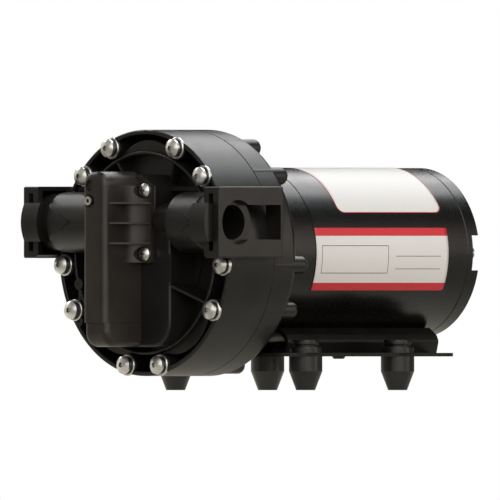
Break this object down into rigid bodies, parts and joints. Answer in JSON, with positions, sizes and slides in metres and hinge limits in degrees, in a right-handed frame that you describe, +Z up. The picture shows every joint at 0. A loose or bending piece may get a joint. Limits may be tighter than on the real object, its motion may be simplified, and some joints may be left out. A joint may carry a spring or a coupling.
{
  "type": "diaphragm water pump",
  "caption": "Motor-driven multi-chamber diaphragm water pump with side ports, pressure switch, saddle base and rubber feet.",
  "frame": {"origin": "centre of the four foot holes, on the floor", "axes": "+Y from the pump head to the back of the motor, along the motor axis; +X towards the outlet port; +Z up"},
  "size_m": [0.1408, 0.2289, 0.13],
  "materials": {
    "head_plastic": "moulded black glass-filled plastic, satin",
    "switch_plastic": "moulded black plastic, satin",
    "motor_paint": "black powder coat, semi-gloss",
    "base_paint": "black powder coat, satin",
    "label_film": "printed film, satin",
    "foot_rubber": "black rubber",
    "stainless": "stainless fasteners, bright satin",
    "plated_steel": "zinc-plated steel",
    "bearing_steel": "ground bearing steel",
    "core_steel": "stacked electrical steel",
    "magnet_ferrite": "ferrite, matt",
    "copper": "enamelled copper",
    "brass": "brass",
    "carbon": "carbon brush",
    "cast_aluminium": "die cast, as cast",
    "inner_plastic": "natural acetal",
    "valve_rubber": "soft black elastomer",
    "insulator": "brown insulating board"
  },
  "bodies": {
    "root": {"upper_housing": "head_plastic", "lower_housing": "head_plastic", "head_screws": "stainless", "lock_washers": "stainless", "flat_washers": "stainless", "switch_cover": "switch_plastic", "switch_lower_cap": "switch_plastic", "cover_screws": "stainless", "switch_diaphragm": "valve_rubber", "microswitch": "insulator", "switch_spring": "plated_steel", "valve_plate": "inner_plastic", "inlet_valves": "valve_rubber", "outlet_valve": "valve_rubber", "diaphragm": "valve_rubber", "front_end_bell": "cast_aluminium", "front_bearing_outer": "bearing_steel", "rear_bearing_outer": "bearing_steel", "motor_can": "motor_paint", "magnets": "magnet_ferrite", "brush_plate": "insulator", "brush_holders": "brass", "upper_brush_spring": "plated_steel", "lower_brush_spring": "plated_steel", "rear_end_cap": "motor_paint", "tie_bolts": "plated_steel", "motor_screws": "plated_steel", "wrap_label": "label_film", "motor_saddle": "base_paint", "saddle_screws": "plated_steel", "base_plate": "base_paint", "base_rivets": "plated_steel", "rubber_feet": "foot_rubber"},
    "rotor": {"motor_shaft": "bearing_steel", "armature_core": "core_steel", "armature_insulator": "insulator", "windings": "copper", "commutator": "copper", "drive_cam": "core_steel", "wobble_inner_race": "bearing_steel", "front_bearing_inner": "bearing_steel", "rear_bearing_inner": "bearing_steel"},
    "wobble": {"wobble_plate": "cast_aluminium", "wobble_outer_race": "bearing_steel", "rear_pistons": "inner_plastic", "front_pistons": "inner_plastic", "piston_screws": "stainless"},
    "plunger": {"plunger": "inner_plastic"},
    "switch_button": {"switch_button": "inner_plastic"},
    "spring_seat": {"spring_seat": "brass"},
    "adjuster": {"adjusting_screw": "stainless"},
    "upper_brush": {"upper_brush": "carbon"},
    "lower_brush": {"lower_brush": "carbon"}
  },
  "joints": [
    {"name": "rotor_spin", "type": "hinge", "parent": "root", "child": "rotor", "pos_m": [0, 0.05, 0.0685], "axis": [0, 1, 0], "continuous": true},
    {"name": "wobble_turn", "type": "hinge", "parent": "rotor", "child": "wobble", "pos_m": [0, -0.0607, 0.0685], "axis": [0, 0.9981, 0.061], "continuous": true, "deforming": ["diaphragm"]},
    {"name": "plunger_slide", "type": "slide", "parent": "root", "child": "plunger", "axis": [0, -1, 0], "range_m": [0, 0.0012], "stiffness_N_per_m": 6000, "springref_m": -0.006, "deforming": ["switch_spring", "switch_diaphragm"]},
    {"name": "button_slide", "type": "slide", "parent": "root", "child": "switch_button", "axis": [0, -1, 0], "range_m": [0, 0.0012], "stiffness_N_per_m": 150, "springref_m": -0.002},
    {"name": "seat_slide", "type": "slide", "parent": "root", "child": "spring_seat", "axis": [0, 1, 0], "range_m": [-0.00104, 0.00104]},
    {"name": "adjuster_turn", "type": "hinge", "parent": "spring_seat", "child": "adjuster", "pos_m": [-0.0026, -0.13, 0.0945], "axis": [0, 1, 0], "range_deg": [-540, 540]},
    {"name": "upper_brush_slide", "type": "slide", "parent": "root", "child": "upper_brush", "axis": [0, 0, 1], "range_m": [0, 0.004], "stiffness_N_per_m": 120, "springref_m": -0.006, "deforming": ["upper_brush_spring"]},
    {"name": "lower_brush_slide", "type": "slide", "parent": "root", "child": "lower_brush", "axis": [0, 0, -1], "range_m": [0, 0.004], "stiffness_N_per_m": 120, "springref_m": -0.006, "deforming": ["lower_brush_spring"]}
  ],
  "couplings": [
    {"joint": "wobble_turn", "follows": "rotor_spin", "ratio": -1},
    {"joint": "button_slide", "follows": "plunger_slide", "ratio": 1},
    {"joint": "adjuster_turn", "follows": "seat_slide", "rad_per_m": 8976}
  ]
}
